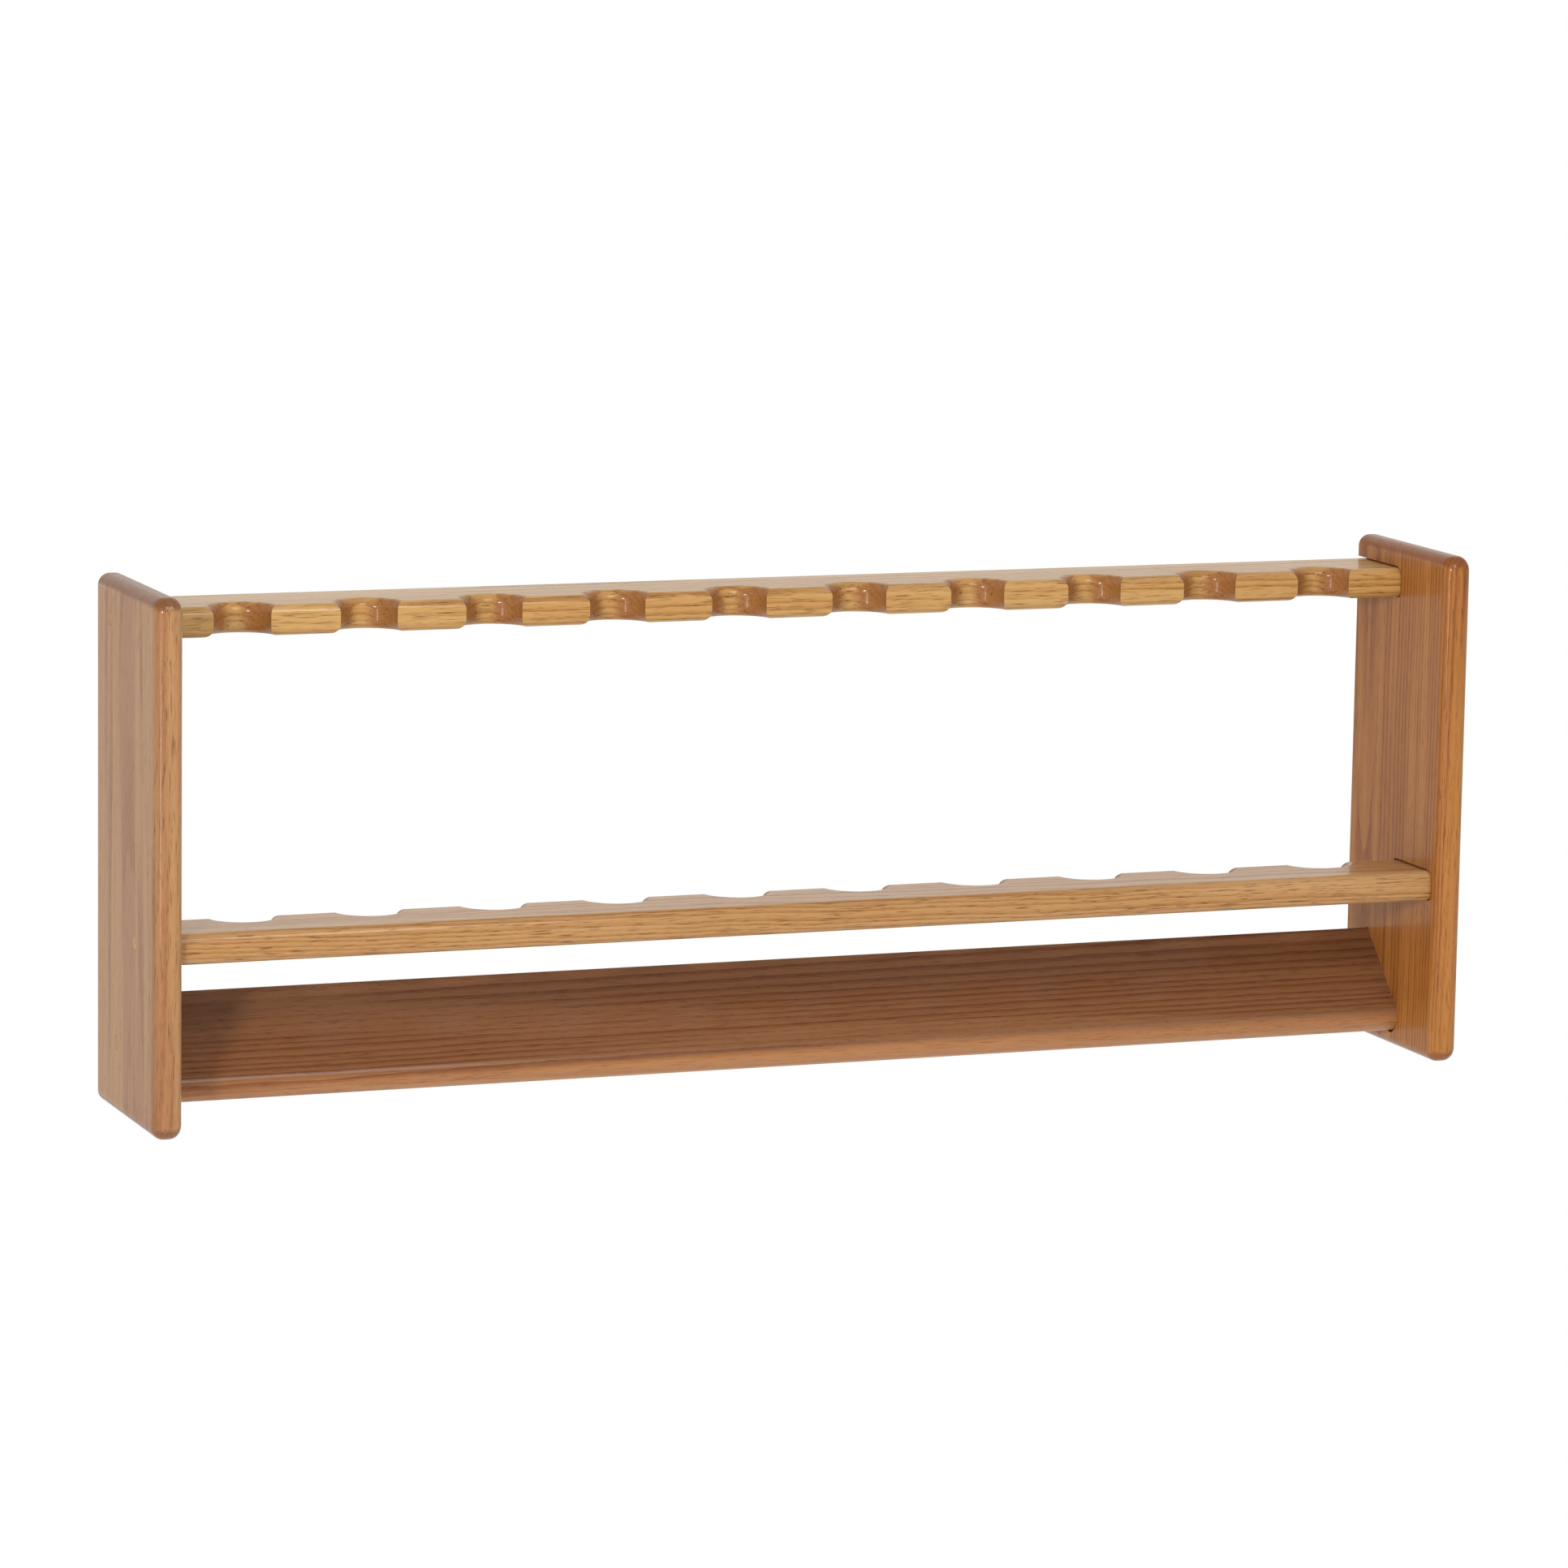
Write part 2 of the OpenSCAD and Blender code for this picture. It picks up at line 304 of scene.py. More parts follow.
def stepped_drill(outer_x, inner_x, screw_low, screw_high):
    """The cutter for one joint of the right panel, on the axis of its screw."""
    axis = screw_low.lerp(screw_high, 0.5)
    head_x = screw_high.x
    start = Vector((outer_x + over, axis.y, axis.z))
    bore = rod("drill", plug_hole_radius, start.x - head_x,
               Vector(((start.x + head_x) / 2, axis.y, axis.z)), (0, math.pi / 2, 0))
    end = pick_end(bore, Vector((-1, 0, 0)))
    step_in(0, head_radius / plug_hole_radius, end)
    step_in(head_flat, 1, end)
    step_in(head_taper, screw_radius / head_radius, end)
    step_in(head_x - head_flat - head_taper - inner_x + over, 1, end)
    bpy.ops.object.mode_set(mode="OBJECT")
    return bore


# %% [markdown]
# ## Side panels
#
# A panel is a short plank with its grain upright. Its two front corners were sawn
# round, and then a router ran along the top, front and bottom edges of both faces.
# The corners have to be rounded first and by more than the router's radius. Then the
# bevel can follow them like the bit did, where a square corner would leave a sharp
# mitre. The back edge stays square, because it sits on the wall. Inside are three
# pockets that the board ends drop into. The right panel is made once, and the left
# one is its mirror image.

# %% Panel blank
wall_ease = 0.6 * MM    # sanded off the panels' back edges


def panel_blank():
    """The right panel's plank, routed on both faces and eased at the back."""
    piece = block("right_panel_wood", right_low, right_high)
    for z in (right_low.z, right_high.z):
        round_corner(piece, 0, (right_low.y, z), panel_corner, 16)

    def rim(a, b):
        on_face = near(a.x, b.x)
        at_back = near(a.y, right_high.y) and near(b.y, right_high.y)
        return on_face and not at_back
    routed = round_edges(piece, panel_round, 12, rim)

    def back(a, b):
        return near(a.y, right_high.y) and near(b.y, right_high.y) and abs(a.z - b.z) > 0.1
    eased = round_edges(piece, wall_ease, 3, back)
    print("routed", routed, "edges and eased", eased)
    return piece


right_panel = panel_blank()

# %% [markdown]
# The pockets are cut by blocks that have the section of the board they take, with a
# small gap all round. Where a rail's edge is rounded, the pocket's corner is too.

# %% Pockets
floor_x = top_high.x
mouth_x = right_low.x - over


def rail_pocket(rail_low, rail_high, through_back):
    """A cutter round a rail's end: tight below, and a gap in front, behind and above."""
    back = right_high.y + over if through_back else rail_high.y + pocket_gap
    low = Vector((mouth_x, rail_low.y - pocket_gap, rail_low.z))
    high = Vector((floor_x, back, rail_high.z + upper_gap))
    cutter = block("pocket", low, high)
    upper = rail_round + pocket_gap
    round_corner(cutter, 0, (low.y, low.z), pocket_round)
    round_corner(cutter, 0, (low.y, high.z), upper)
    if not through_back:
        round_corner(cutter, 0, (high.y, low.z), pocket_round)
        round_corner(cutter, 0, (high.y, high.z), upper)
    return cutter


# %% [markdown]
# The frame gives the sloping board as an upright box, which touches the board's rounded
# corners. On a board tilted by 45 degrees a sharp corner would stand out further than
# its round does, by the radius times the root of two less one. Adding that back gives
# the box of the board before it was rounded, and so its middle and its true width.

# %% The butt board's pocket
nose_room = 2 * MM      # the pocket is this much squarer than the nose below it
corner_loss = math.sqrt(2) - 1
nose_loss = corner_loss * nose_round
back_loss = corner_loss * back_ease
section_low = Vector((0, butt_low.y - nose_loss, butt_low.z - nose_loss))
section_high = Vector((0, butt_high.y + back_loss, butt_high.z + back_loss))
butt_centre = section_low.lerp(section_high, 0.5)
butt_wide = (section_high.y - section_low.y) * math.sqrt(2) - butt_thick
print("butt board", round(butt_wide / MM, 1), "mm wide,", butt_thick / MM, "mm thick")


def butt_pocket():
    """A cutter round the sloping board's end, made level and then turned to its slope."""
    half_wide = butt_wide / 2 + pocket_gap
    low = butt_centre + Vector((mouth_x, -half_wide, -butt_thick / 2 - pocket_gap))
    high = butt_centre + Vector((floor_x, half_wide, butt_thick / 2))
    cutter = block("pocket", low, high)
    round_corner(cutter, 0, (low.y, low.z), nose_round - nose_room)
    round_corner(cutter, 0, (high.y, low.z), pocket_round)
    round_corner(cutter, 0, (high.y, high.z), back_ease)
    round_corner(cutter, 0, (low.y, high.z), nose_round + pocket_gap)
    place_turned(cutter, (butt_slope, 0, 0), butt_centre)
    return cutter


# %% [markdown]
# The top rail lies at the very back, so its pocket runs out through the back edge. The
# middle rail's is closed all round, and the butt board's follows its slope.

# %% Pockets and holes in the right panel
cut(right_panel, rail_pocket(top_low, top_high, through_back=True))
cut(right_panel, rail_pocket(mid_low, mid_high, through_back=False))
cut(right_panel, butt_pocket())
for joint in ("top", "middle", "butt"):
    cut(right_panel, stepped_drill(right_high.x, right_low.x, *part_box(f"right_{joint}_screw")))
print("three pockets and three stepped holes")

# %% [markdown]
# The keyhole plate lies flush in a shallow recess in the back edge, and behind it a
# deeper slot with round ends gives the wall screw's head room to slide. Both are
# blocks with their corners rounded, cut in from behind.

# %% Hanger recess
plate_low, plate_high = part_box("right_hanger")
head_slot_radius = 5.5 * MM
head_slot_travel = 10 * MM
head_slot_depth = 7 * MM
hanger_pilot_radius = 1.75 * MM
plate_corner = 3.2 * MM
plate_gap = Vector((0.2, 0, 0.2)) * MM


def upright_slot(name, low, high, radius):
    """A block with the four edges that run from front to back rounded."""
    piece = block(name, low, high)
    for x in (low.x, high.x):
        for z in (low.z, high.z):
            round_corner(piece, 1, (x, z), radius)
    return piece


plate_middle = plate_low.lerp(plate_high, 0.5)
reach = Vector((head_slot_radius, 0, head_slot_radius + head_slot_travel / 2))
slot_front = plate_low.y - head_slot_depth
behind = Vector((0, over, 0))
recess = upright_slot("recess", plate_low - plate_gap, plate_high + plate_gap + behind, plate_corner)
cut(right_panel, recess)
slot_low = Vector((plate_middle.x, slot_front, plate_middle.z)) - reach
slot_high = Vector((plate_middle.x, plate_high.y + over, plate_middle.z)) + reach
almost_half = head_slot_radius - 0.01 * MM      # so the two rounds of an end don't quite meet
cut(right_panel, upright_slot("head_slot", slot_low, slot_high, almost_half))
for end in ("upper", "lower"):
    screw_low, screw_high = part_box(f"right_hanger_{end}_screw")
    middle = screw_low.lerp(screw_high, 0.5)
    pilot = rod("pilot", hanger_pilot_radius, screw_high.y - screw_low.y + over, middle,
                (math.pi / 2, 0, 0), 24)
    cut(right_panel, pilot)
finish_mesh(right_panel)

# %% [markdown]
# Mirroring turns a mesh inside out, so the left panel's normals are recalculated
# after its scale of -1 is applied.

# %% Left panel
def mirrored(piece, name):
    """A mirror image of a piece across the middle of the rack, with its own mesh."""
    only(piece)
    bpy.ops.object.duplicate()
    twin = bpy.context.object
    twin.name = name
    twin.scale = (-1, 1, 1)
    bpy.ops.object.transform_apply(location=True, rotation=True, scale=True)
    finish_mesh(twin)
    return twin


left_panel = mirrored(right_panel, "left_panel_wood")

# %% [markdown]
# ## Notched rails
#
# Each rail is a board with ten half-round notches on one edge: the top rail's open to
# the front and the middle rail's to the back, so that a cue stands in both. A router
# has rounded the long edges, and then followed every notch. Bevelling the whole rim at
# once would fold up at the mouths of the notches, where the round is wider than the
# first steps of the arc. So the long edges are bevelled on the plain board, and each
# notch is cut with its rounding already on the cutter: a cylinder whose two ends flare
# by a quarter circle, made by extruding an end face and widening it in small steps.

# %% Notch cutter
flare_steps = 10


def flare_end(cutter, direction):
    """Widens one end of a standing cylinder by a quarter circle, and runs it on past the board."""
    end = pick_end(cutter, Vector((0, 0, direction)))
    width, height = notch_radius, 0
    for step in range(1, flare_steps + 1):
        angle = math.pi / 2 * step / flare_steps
        next_width = notch_radius + rail_round * (1 - math.cos(angle))
        next_height = rail_round * math.sin(angle)
        rise = direction * (next_height - height)
        bpy.ops.mesh.extrude_region_move(TRANSFORM_OT_translate={"value": (0, 0, rise)})
        share = next_width / width
        bpy.ops.transform.resize(value=(share, share, 1), center_override=end)
        width, height = next_width, next_height
    bpy.ops.mesh.extrude_region_move(TRANSFORM_OT_translate={"value": (0, 0, direction * over)})
    bpy.ops.object.mode_set(mode="OBJECT")


def notch_cutter(low, high):
    """One flared cylinder, copied to the axes of the ten cue slots and joined."""
    waist = high.z - low.z - 2 * rail_round
    first = Vector((slots[0].x, slots[0].y, (low.z + high.z) / 2))
    model = rod("notch", notch_radius, waist, first, sides=96)
    flare_end(model, 1)
    flare_end(model, -1)
    copies = [model]
    for slot in slots[1:]:
        only(model)
        bpy.ops.object.duplicate()
        bpy.context.object.location.x = slot.x - first.x
        copies.append(bpy.context.object)
    for piece in copies:
        piece.select_set(True)
    bpy.context.view_layer.objects.active = model
    bpy.ops.object.join()
    return model


# %% [markdown]
# A rail is then four bevels and one cut. The two rails differ only in their place and
# width: the cue slots' axes lie in front of the one and behind the other, so the same
# ten cutters open the top rail to the front and the middle rail to the back.

# %% Rails
def notched_rail(name, low, high):
    """A rail: a block with its four long edges routed, and ten notches."""
    piece = block(name, low, high)
    for y in (low.y, high.y):
        for z in (low.z, high.z):
            round_corner(piece, 0, (y, z), rail_round, 10)
    cut(piece, notch_cutter(low, high))
    print(name, "with", len(slots), "notches")
    return piece


top_rail = notched_rail("top_rail_wood", top_low, top_high)
middle_rail = notched_rail("middle_rail_wood", mid_low, mid_high)

# %% [markdown]
# The ends are drilled for the screws. Nobody sees these holes once the rack is
# together, but without them the screws would pass through solid wood.

# %% Drill the ends
pilot_slack = 0.05 * MM


def drill_ends(piece, joint):
    """Bores both ends of a board for the screws of one joint."""
    for side in ("left", "right"):
        low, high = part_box(f"{side}_{joint}_screw")
        pilot = rod("pilot", screw_radius + pilot_slack, high.x - low.x + over, low.lerp(high, 0.5),
                    (0, math.pi / 2, 0), 24)
        cut(piece, pilot)


drill_ends(top_rail, "top")
drill_ends(middle_rail, "middle")
finish_mesh(top_rail)
finish_mesh(middle_rail)

# %% [markdown]
# ## Butt board
#
# The board at the foot slopes up to the wall, so that the rubber bumpers of the cues
# slide back and rest. It is made level, with a round nose in front and barely eased
# edges behind, and then turned to its slope about its own middle.

# %% Butt board
def sloping_board():
    """The butt board, made level and turned."""
    half = Vector((butt_high.x, butt_wide / 2, butt_thick / 2))
    low, high = butt_centre - half, butt_centre + half
    piece = block("butt_board_wood", low, high)
    for z in (low.z, high.z):
        round_corner(piece, 0, (low.y, z), nose_round, 10)
        round_corner(piece, 0, (high.y, z), back_ease, 4)
    place_turned(piece, (butt_slope, 0, 0), butt_centre)
    drill_ends(piece, "butt")
    finish_mesh(piece)
    return piece


butt_board = sloping_board()

# %% [markdown]
# ## Plugs
#
# The plugs are cut from scraps with a plug cutter and pared flush. Each has a finely
# eased rim, which draws a thin ring round it, and a tapered foot that starts it into
# the hole. One is modelled and copied to the six places.

# %% Model plug
plug_ease = 0.25 * MM
foot_inset = 0.6 * MM
foot_share = 0.96       # the foot's width, against the width it would have straight


def oak_plug(name):
    """The right top plug: a short cylinder with an eased face and a tapered foot."""
    low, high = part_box("right_top_plug")
    piece = rod(name, plug_radius, high.x - low.x, low.lerp(high, 0.5), (0, math.pi / 2, 0), 64)
    round_edges(piece, plug_ease, 3, lambda a, b: near(a.x, high.x) and near(b.x, high.x))
    foot = pick_end(piece, Vector((-1, 0, 0)))
    bpy.ops.mesh.inset(thickness=foot_inset)
    bpy.ops.transform.resize(value=(1, foot_share, foot_share), center_override=foot)
    bpy.ops.object.mode_set(mode="OBJECT")
    return piece


# %% [markdown]
# On the left side the plug is mirrored before it is moved, so that its face still
# looks outwards.

# %% Six plugs
def plug_copy(model, side, joint):
    """A copy of the model plug, with its own mesh, in the hole that a joint needs."""
    only(model)
    bpy.ops.object.duplicate()
    twin = bpy.context.object
    twin.name = f"{side}_{joint}_oak_plug"
    if side == "left":
        twin.scale = (-1, 1, 1)
        bpy.ops.object.transform_apply(location=True, rotation=True, scale=True)
    low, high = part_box(f"{side}_{joint}_plug")
    first_low, first_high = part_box(f"{side}_top_plug")
    twin.location = low.lerp(high, 0.5) - first_low.lerp(first_high, 0.5)
    bpy.ops.object.transform_apply(location=True, rotation=True, scale=True)
    finish_mesh(twin)
    return twin


model_plug = oak_plug("model_plug")
plugs = {(side, joint): plug_copy(model_plug, side, joint)
         for side in ("left", "right") for joint in ("top", "middle", "butt")}
bpy.data.objects.remove(model_plug)

# %% [markdown]
# ## Shader maths
#
# A wood grain is arithmetic on the point being shaded. Blender's Math nodes can do
# it, but a dozen of them are hard to read. This small class wraps a socket, so that
# `1 - mask` or `near * 0.5` adds its own Math node, and one method adds any other
# node with its settings and the values or links of its sockets.

# %% Sockets as numbers
class Wire:
    """One output socket, with the operators that a shader needs."""

    def __init__(self, bench, socket):
        self.bench = bench
        self.socket = socket

    def maths(self, operation, *values):
        inputs = dict(enumerate(values))
        return self.bench.node("ShaderNodeMath", {"operation": operation}, inputs)

    def __add__(self, other):
        return self.maths("ADD", self, other)

    def __sub__(self, other):
        return self.maths("SUBTRACT", self, other)

    def __rsub__(self, other):
        return self.maths("SUBTRACT", other, self)

    def __mul__(self, other):
        return self.maths("MULTIPLY", self, other)

    def __truediv__(self, other):
        return self.maths("DIVIDE", self, other)

    __radd__ = __add__
    __rmul__ = __mul__

    def fraction(self):
        return self.maths("FRACT", self)

    def root(self):
        return self.maths("SQRT", self)

    def size(self):
        return self.maths("ABSOLUTE", self)

    def between(self, low, high):
        """0 below low, 1 above high, and a smooth step from one to the other."""
        return self.bench.node("ShaderNodeMapRange", {"interpolation_type": "SMOOTHSTEP"},
                               {"Value": self, "From Min": low, "From Max": high})


# %% [markdown]
# A material's nodes lie on a bench. Its node() method adds one of any kind and sets
# what doesn't change before it links what does. The rest are short names for the
# nodes that wood and metal need again and again: mixing two colours, taking a point
# apart, and noise stretched to the length and width of a mark.

# %% The bench where nodes are laid out
class Bench:
    """A node tree being filled. node() is the one way to add to it."""

    def __init__(self, tree):
        self.tree = tree
        tree.nodes.clear()

    def node(self, kind, settings=None, inputs=None, output=0):
        made = self.tree.nodes.new(kind)
        for key, value in (settings or {}).items():
            if key == "stops":
                self.set_stops(made.color_ramp, value)
            else:
                setattr(made, key, value)
        for key, value in (inputs or {}).items():
            if isinstance(value, Wire):
                self.tree.links.new(value.socket, made.inputs[key])
            else:
                made.inputs[key].default_value = value
        return Wire(self, made.outputs[output]) if made.outputs else made

    @staticmethod
    def set_stops(ramp, stops):
        while len(ramp.elements) < len(stops):
            ramp.elements.new(1)
        for element, (place, value) in zip(ramp.elements, stops):
            element.position = place
            element.color = (value, value, value, 1)

    def mix(self, share, first, second, blend="MIX"):
        """Mixes two colours. The colour sockets of a Mix node are its 6th and 7th."""
        return self.node("ShaderNodeMix", {"data_type": "RGBA", "blend_type": blend},
                         {0: share, 6: first, 7: second}, output=2)

    def split(self, point):
        """The three parts of a point or a direction, as numbers."""
        parts = self.node("ShaderNodeSeparateXYZ", None, {0: point})
        return [Wire(self, part) for part in parts.socket.node.outputs]

    def join(self, first, second=0.0, third=0.0):
        """Three numbers as one point or colour."""
        return self.node("ShaderNodeCombineXYZ", None, {0: first, 1: second, 2: third})

    def cloud(self, point, by, shift=(0, 0, 0), detail=2.0):
        """Noise from 0 to 1, repeated by so many times per unit of the point in each direction."""
        stretched = self.node("ShaderNodeVectorMath", {"operation": "MULTIPLY_ADD"},
                              {0: point, 1: by, 2: shift})
        return self.node("ShaderNodeTexNoise", {"noise_dimensions": "3D"},
                         {"Vector": stretched, "Scale": 1.0, "Detail": detail, "Roughness": 0.5})


def linear(colour):
    """A colour written as #rrggbb, as the linear numbers that shaders use."""
    parts = [int(colour[i:i + 2], 16) / 255 for i in (1, 3, 5)]
    return (*[p / 12.92 if p <= 0.04045 else ((p + 0.055) / 1.055) ** 2.4 for p in parts], 1)


# %% [markdown]
# ## Red oak
#
# A board is a slice through a tree, so its grain is one solid pattern that shows
# differently on each face. The shader finds how far a point is from the heart of the
# log, and that distance, divided by the width of a year's growth, gives the ring it
# lies in. The log tapers and wanders a little, which draws pointed arches on a wide
# face and straight lines on a narrow one. Each ring starts with a belt of open pores,
# seen as short dark dashes along the grain and as dots on an end. An image of wood
# could be wrapped round the board instead, but it would smear on the rounded edges
# and never meet properly at the ends.

# %% Growth rings
UPRIGHT = (0, -math.pi / 2, 0)   # the grain runs along Z
LENGTHWISE = (0, 0, 0)           # the grain runs along X
SLOPING = (butt_slope, 0, 0)     # along X, on a board turned to its slope

# How many repeat in a millimetre along the grain, across the face and through the board
WANDER = (0.004, 0.012, 0.012)
RIPPLE = (0.02, 0.09, 0.09)


def growth_rings(bench, point, heart, shift, ring, taper, bend):
    """1 in the porous wood that starts each year's ring, and 0 in the dense wood that ends it."""
    along, across, deep = bench.split(point)
    wander = (bench.cloud(point, WANDER, shift) - 0.5) * bend
    ripple = (bench.cloud(point, RIPPLE, shift) - 0.5) * (bend * 0.12)
    from_heart = across - heart[0] + wander
    below = deep - heart[1] + along * taper + wander * 0.4
    years = ((from_heart * from_heart + below * below).root() + ripple) / ring
    good_years = bench.cloud(bench.join(years), (0.45, 1, 1), shift) - 0.5
    years = years + good_years * 1.4
    stops = [(0, 0.1), (0.05, 1), (0.3, 0.72), (0.55, 0.12), (1, 0.0)]
    return bench.node("ShaderNodeValToRGB", {"stops": stops}, {0: years.fraction()})


# %% [markdown]
# Finer marks lie over the rings. Fibres are faint lines as long as a finger. Broad
# bands change the colour slowly across a board. Pores crowd into the first wood of
# each ring. Rays are thin plates that run out from the heart, and a saw that crosses
# them leaves short dark streaks. Each is the same noise, stretched differently, and a
# smooth step turns the last two into separate marks.

# %% Fibres, bands, pores and rays
FIBRE = (0.02, 0.8, 0.8)
BAND = (0.002, 0.055, 0.055)
PORE = (0.14, 2.2, 2.2)
RAY = (0.06, 1.0, 1.1)


def wood_marks(bench, point, shift, season):
    """Fibres and bands that vary from 0 to 1, and masks of the pores and the rays."""
    fibre = bench.cloud(point, FIBRE, shift, detail=4.0)
    band = bench.cloud(point, BAND, shift, detail=3.0)
    open_wood = 0.25 + season * 0.75
    pore = bench.cloud(point, PORE, shift, detail=1.0).between(0.55, 0.70) * open_wood
    ray_shift = (shift[1], shift[2], shift[0])
    ray = bench.cloud(point, RAY, ray_shift).between(0.54, 0.72)
    return fibre, band, pore, ray


def facing(bench, turn):
    """How much a face looks along the grain, and how much across the board as its edges do."""
    normal = bench.node("ShaderNodeTexCoord", output="Normal")
    turned = bench.node("ShaderNodeMapping", {"vector_type": "TEXTURE"},
                        {"Vector": normal, "Rotation": turn})
    along, across = bench.split(turned)[:2]
    return along.size().between(0.06, 0.5), across.size().between(0.3, 0.8)


# %% [markdown]
# The colour is put together like the real one. Dense and porous wood have their own
# tones, a blush lies over some of it, and the ends, which drink more stain, are
# darker. The marks then take away more blue than red, so they look brown and not
# grey. Over it all lies a thin amber lacquer: it sinks into the pores, which makes
# them duller, and yellows the faces that are seen at a slant.

# %% Oak
def oak(name, centre, turn, heart, tones, shift, ring=3.2, taper=0.03, bend=20.0, edge_light=0.0,
        ticks=0.4, rim=0.0, coat=0.38):
    """Lacquered red oak, in millimetres along the grain, across the face and through the board.

    heart is where the log's centre lies from the board's, across and through. tones are
    the late wood, the early wood, a blush and the end grain. shift picks another piece
    of the pattern, so that no two boards are the same. ring is a year's width, taper how
    fast the log narrows, and bend how far it wanders. edge_light brightens the edges,
    and ticks is how dark the rays are. rim is the radius of a plug, whose glue line
    shows as a dark ring. coat is how much lacquer there is.
    """
    made = bpy.data.materials.new(name)
    made.use_nodes = True
    bench = Bench(made.node_tree)
    here = bench.node("ShaderNodeTexCoord", output="Object")
    point = bench.node("ShaderNodeMapping", {"vector_type": "TEXTURE"},
                       {"Vector": here, "Location": centre, "Rotation": turn, "Scale": (MM, MM, MM)})
    season = growth_rings(bench, point, heart, shift, ring, taper, bend)
    fibre, band, pore, ray = wood_marks(bench, point, shift, season)
    end_grain, narrow = facing(bench, turn)

    late, early, blush, end = [linear(tone) for tone in tones]
    colour = bench.mix(season * 0.8 + (fibre - 0.5) * 1.1, late, early)
    colour = bench.mix(band.between(0.46, 0.6) * 0.7, colour, blush)
    colour = bench.mix(end_grain * 0.8, colour, end)
    dark = pore * 0.34 + ray * (ticks * 0.6 + narrow * (ticks * 0.4))
    if rim:
        along, across = bench.split(point)[:2]
        dark = dark + (along * along + across * across).root().between(rim - 0.8, rim) * 0.5
    red = 1 - dark + (fibre - 0.5) * 0.3 + narrow * edge_light
    green = red - dark * 0.16
    blue = red - dark * 0.26 - narrow * (edge_light * 0.4)
    colour = bench.mix(1.0, colour, bench.join(red, green, blue), "MULTIPLY")

    height = 1 - pore * 0.6 - ray * 0.2 - season * 0.12 + (fibre - 0.5) * 0.15
    bump = bench.node("ShaderNodeBump", None, {"Strength": 0.35, "Distance": 0.12 * MM, "Height": height})
    wood = bench.node("ShaderNodeBsdfPrincipled", None, {
        "Base Color": colour, "Roughness": 0.40 + pore * 0.18 + (fibre - 0.5) * 0.12,
        "Normal": bump, "Specular IOR Level": 0.12,
        "Coat Weight": coat - pore * 0.2, "Coat Roughness": 0.13,
        "Coat Tint": (1.0, 0.93, 0.78, 1.0)})
    bench.node("ShaderNodeOutputMaterial", None, {"Surface": wood})
    return made


# %% [markdown]
# Each board comes from its own plank. The panels are flat sawn, with the heart of the
# log off to one side. The rails are paler and straighter, and the butt board is the
# darkest of all, with its narrow faces, the nose among them, made lighter and more orange.

# %% Oak for each board
def middle_of(low, high):
    """The middle of a box, as the three plain numbers that a socket takes."""
    return tuple(low.lerp(high, 0.5))


finishes = {
    "left_panel": oak(
        "left_panel_oak", middle_of(left_low, left_high), UPRIGHT, (-12, -95),
        ("#996d4b", "#8d6040", "#aa845c", "#70452a"), (3.1, 7.7, 1.9),
        ring=5.5, bend=12),
    "right_panel": oak(
        "right_panel_oak", middle_of(right_low, right_high), UPRIGHT, (48, 70),
        ("#9e6732", "#7f4821", "#aa743d", "#77431d"), (11.3, 2.2, 5.4),
        ring=3.4, taper=0.02, bend=8),
    "top_rail": oak(
        "top_rail_oak", middle_of(top_low, top_high), LENGTHWISE, (30, -60),
        ("#b38b55", "#956836", "#b99662", "#87542d"), (5.9, 13.1, 8.8),
        ring=3.6, taper=0.012, ticks=0.5),
    "middle_rail": oak(
        "middle_rail_oak", middle_of(mid_low, mid_high), LENGTHWISE, (-34, -72),
        ("#ac8456", "#8e6237", "#b38f65", "#7f5333"), (17.4, 4.3, 2.7),
        ring=3.3, taper=0.012, ticks=0.5),
    "butt_board": oak(
        "butt_board_oak", tuple(butt_centre), SLOPING, (62, -58),
        ("#7e5539", "#613924", "#865e42", "#5a3621"), (9.2, 6.5, 15.3),
        ring=3.4, taper=0.006, bend=9, edge_light=0.5, coat=0.24),
}
print(len(finishes), "boards of oak")

# %% [markdown]
# The plugs are short pieces of the same wood, cut out of the face of a board, and
# nobody matched them: one is yellower, one paler and one browner than the panel. Each
# joint has its own scrap on each side, so the pattern's shift follows the plug's place.

# %% Oak for the plugs
plug_tones = {
    "top": ("#bd8443", "#9b672f", "#c28946", "#b0763b"),
    "middle": ("#ba8655", "#99683c", "#c08b57", "#ae7a4c"),
    "butt": ("#ad7440", "#8b582b", "#b37a41", "#a36b38"),
}
for (side, joint), piece in plugs.items():
    low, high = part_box(f"{side}_{joint}_plug")
    scrap = 2.0 if side == "left" else 7.0
    shift = (low.z * 40 + scrap, scrap, low.y * 90)
    finish = oak(f"{side}_{joint}_plug_oak", middle_of(low, high), UPRIGHT, (4, -30),
                 plug_tones[joint], shift, ring=2.6, taper=0.05, rim=plug_radius / MM)
    piece.data.materials.append(finish)
print(len(plugs), "plugs")

# %% [markdown]
# ## Metal
#
# The assembly screws are yellow-passivated steel and the hangers bright zinc. Zinc
# plating is never even: it has a faint crystal pattern and fine handling marks, which
# change how sharply it reflects more than they change its colour.

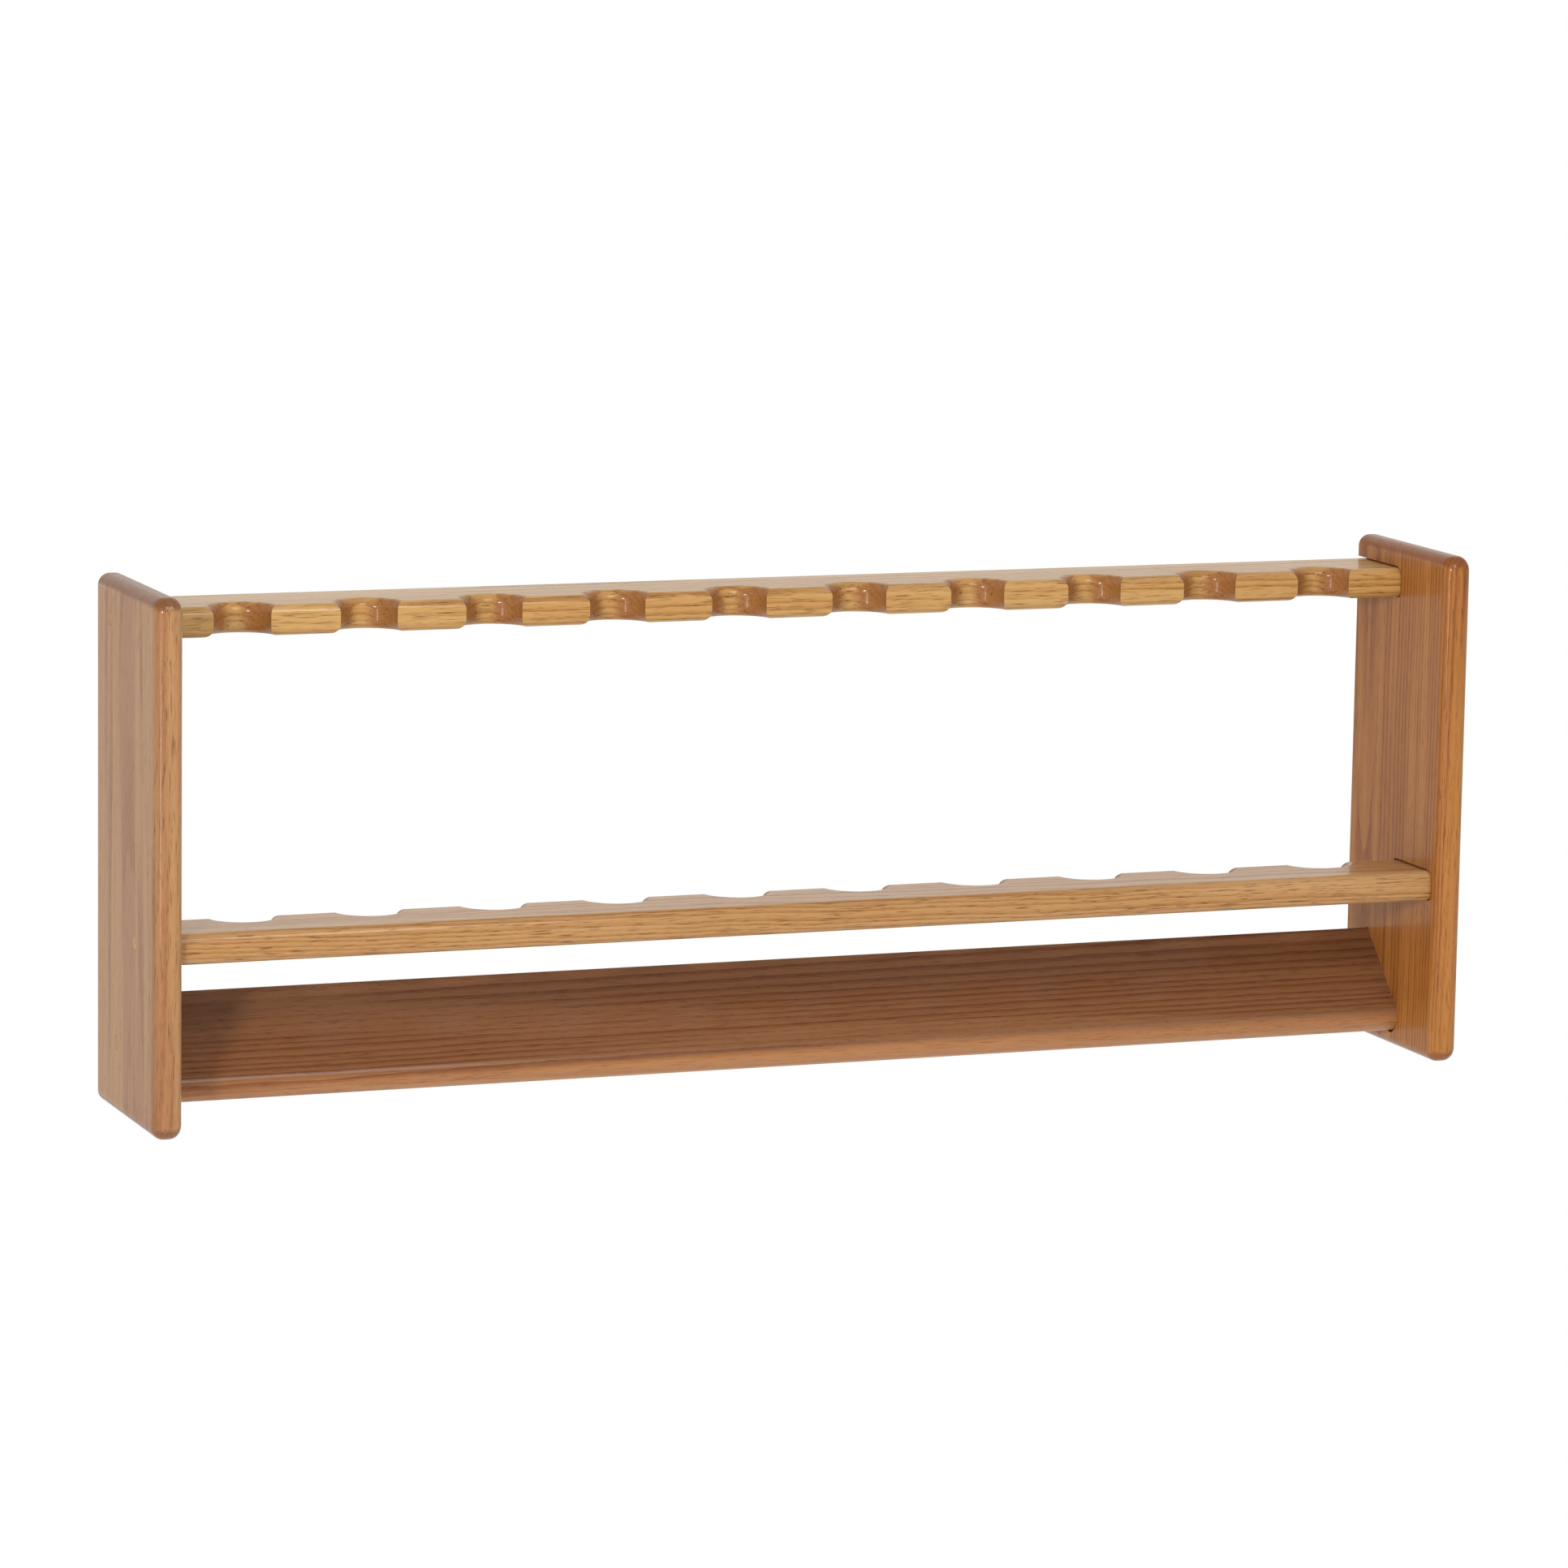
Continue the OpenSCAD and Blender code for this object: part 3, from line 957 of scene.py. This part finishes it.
# %% Plated steel
def plated(name, bright, dull, grain):
    """Plated steel with a soft crystal pattern, fine scratches and dull patches."""
    made = bpy.data.materials.new(name)
    made.use_nodes = True
    bench = Bench(made.node_tree)
    point = bench.node("ShaderNodeTexCoord", output="Object")
    crystal = bench.node("ShaderNodeTexVoronoi", {"feature": "SMOOTH_F1"},
                         {"Vector": point, "Scale": grain, "Smoothness": 0.6})
    patch = bench.cloud(point, (90, 90, 90), detail=3.0).between(0.4, 0.7)
    scratch = bench.cloud(point, (900, 900, 60), detail=2.0).between(0.55, 0.75)
    colour = bench.mix(patch * 0.6 + crystal * 0.25, linear(bright), linear(dull))
    height = crystal * 0.4 - scratch * 0.6
    bump = bench.node("ShaderNodeBump", None, {"Strength": 0.25, "Distance": 0.03 * MM, "Height": height})
    metal = bench.node("ShaderNodeBsdfPrincipled", None, {
        "Base Color": colour, "Metallic": 1.0, "Normal": bump,
        "Roughness": 0.26 + patch * 0.16 + scratch * 0.12 + crystal * 0.08})
    bench.node("ShaderNodeOutputMaterial", None, {"Surface": metal})
    return made


yellow_zinc = plated("yellow_zinc", "#d8bd78", "#a98f52", 700.0)
bright_zinc = plated("bright_zinc", "#d2d1cc", "#a3a29c", 420.0)
for name, node in frame["nodes"].items():
    if "hanger" in name or name.endswith("_screw"):
        metal = bright_zinc if "hanger" in name else yellow_zinc
        for place in node.material_slots:
            place.material = metal
print("screws and hangers plated")

# %% [markdown]
# ## Studio
#
# The rack hangs in front of a white sweep, well above a pale floor. The key is warm,
# fairly small and not much higher than the rack, to the left in front, so the left
# panel throws a soft shadow along the butt board. A weak lamp near it, below the rack's
# height, lifts the undersides, and a wide one high in front fills in. An area lamp is
# a softbox: the wider it is, the softer its shadows.

# %% Lights
aim = cad_low.lerp(cad_high, 0.5)


def softbox(name, azimuth, elevation, distance, size, power, colour):
    """A square area light that looks at the rack. Azimuth 0 is in front, and left is positive."""
    a, e = math.radians(azimuth), math.radians(elevation)
    back = Vector((-math.sin(a) * math.cos(e), -math.cos(a) * math.cos(e), math.sin(e)))
    bpy.ops.object.light_add(type="AREA", location=aim + back * distance)
    lamp = bpy.context.object
    lamp.name = name
    lamp.rotation_mode = "QUATERNION"
    lamp.rotation_quaternion = back.to_track_quat("Z", "Y")
    lamp.data.size = size
    lamp.data.energy = power
    lamp.data.color = colour
    lamp.visible_camera = False
    print(name, power, "W,", distance, "m away")


softbox("key_light", azimuth=42, elevation=14, distance=3.6, size=0.45, power=55,
        colour=(1.0, 0.93, 0.84))
softbox("low_light", azimuth=52, elevation=-7, distance=3.6, size=0.3, power=6,
        colour=(1.0, 0.95, 0.92))
softbox("front_light", azimuth=-6, elevation=42, distance=3.4, size=1.3, power=45,
        colour=(1.0, 0.97, 0.93))

# %% [markdown]
# The room itself glows, a little less above than below, which keeps the sloping board
# dark and the undersides bright. A brighter sheet stands behind the rack, where lacquer
# seen at a slant reflects it. The camera itself sees plain white instead, so the
# rack's outline stays clean.

# %% World
backdrop_direction = (0.36, 0.92, 0.15)
sheet_edge = math.cos(math.radians(44))     # where the backdrop's glow starts
sheet_full = math.cos(math.radians(26))     # and where it is full


def studio_air(above, below, backdrop):
    """The room's glow above and below the horizon, and a white backdrop behind the rack."""
    world = bpy.data.worlds.new("studio_air")
    world.use_nodes = True
    bpy.context.scene.world = world
    air = Bench(world.node_tree)
    direction = air.node("ShaderNodeTexCoord", output="Generated")
    upness = air.split(direction)[2].between(-0.35, 0.35)
    behind = air.node("ShaderNodeVectorMath", {"operation": "DOT_PRODUCT"},
                      {0: direction, 1: backdrop_direction}, output=1)
    sheet = behind.between(sheet_edge, sheet_full)
    glow = below + upness * (above - below) + sheet * backdrop
    room = air.join(glow, glow * 0.99, glow * 0.97)
    seen = air.node("ShaderNodeLightPath", output="Is Camera Ray")
    light = air.node("ShaderNodeBackground", None,
                     {"Color": air.mix(seen, room, (1, 1, 1, 1)), "Strength": 1.0})
    air.node("ShaderNodeOutputWorld", None, {"Surface": light})
    print("the air glows", above, "above and", below, "below")


studio_air(above=0.64, below=0.70, backdrop=0.39)

# %% [markdown]
# The floor lies far enough below that the rack's shadow on it is too faint to see. It
# glows a little, as a wide white studio floor does, and so lights things from below.

# %% Floor
floor_radius = 2.2
floor_height = -0.9

bpy.ops.object.select_all(action="DESELECT")
bpy.ops.mesh.primitive_circle_add(vertices=96, radius=floor_radius, fill_type="NGON",
                                  location=(0, 0, floor_height))
floor = bpy.context.object
floor.name = "floor"
bpy.ops.object.transform_apply(location=True, rotation=True, scale=True)
pale = bpy.data.materials.new("pale_floor")
pale.use_nodes = True
ground = Bench(pale.node_tree)
speckle = ground.cloud(ground.node("ShaderNodeTexCoord", output="Object"), (40, 40, 40))
paint = ground.mix(speckle, (0.86, 0.86, 0.85, 1), (0.9, 0.9, 0.89, 1))
surface = ground.node("ShaderNodeBsdfPrincipled", None, {
    "Base Color": paint, "Roughness": 0.8,
    "Emission Color": (1, 1, 1, 1), "Emission Strength": 0.35})
ground.node("ShaderNodeOutputMaterial", None, {"Surface": surface})
floor.data.materials.append(pale)
bpy.context.scene.view_settings.view_transform = "Standard"
print("floor", floor_radius * 2, "m across, studio ready")

# %% [markdown]
# ## Assembly
#
# Every wooden piece stands for its measured node and rides on the rack's one body.
# Nothing on this rack moves.

# %% Put the pieces in the frame
boards = {
    "left_panel": (left_panel, "panel_oak"),
    "right_panel": (right_panel, "panel_oak"),
    "top_rail": (top_rail, "rail_oak"),
    "middle_rail": (middle_rail, "rail_oak"),
    "butt_board": (butt_board, "butt_oak"),
}
for node_name, (piece, slot_name) in boards.items():
    piece.data.materials.clear()
    piece.data.materials.append(finishes[node_name])
    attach(piece, "root")
    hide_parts(node_name)
for (side, joint), piece in plugs.items():
    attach(piece, "root")
    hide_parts(f"{side}_{joint}_plug")
print(len(boards) + len(plugs), "wooden pieces in place")
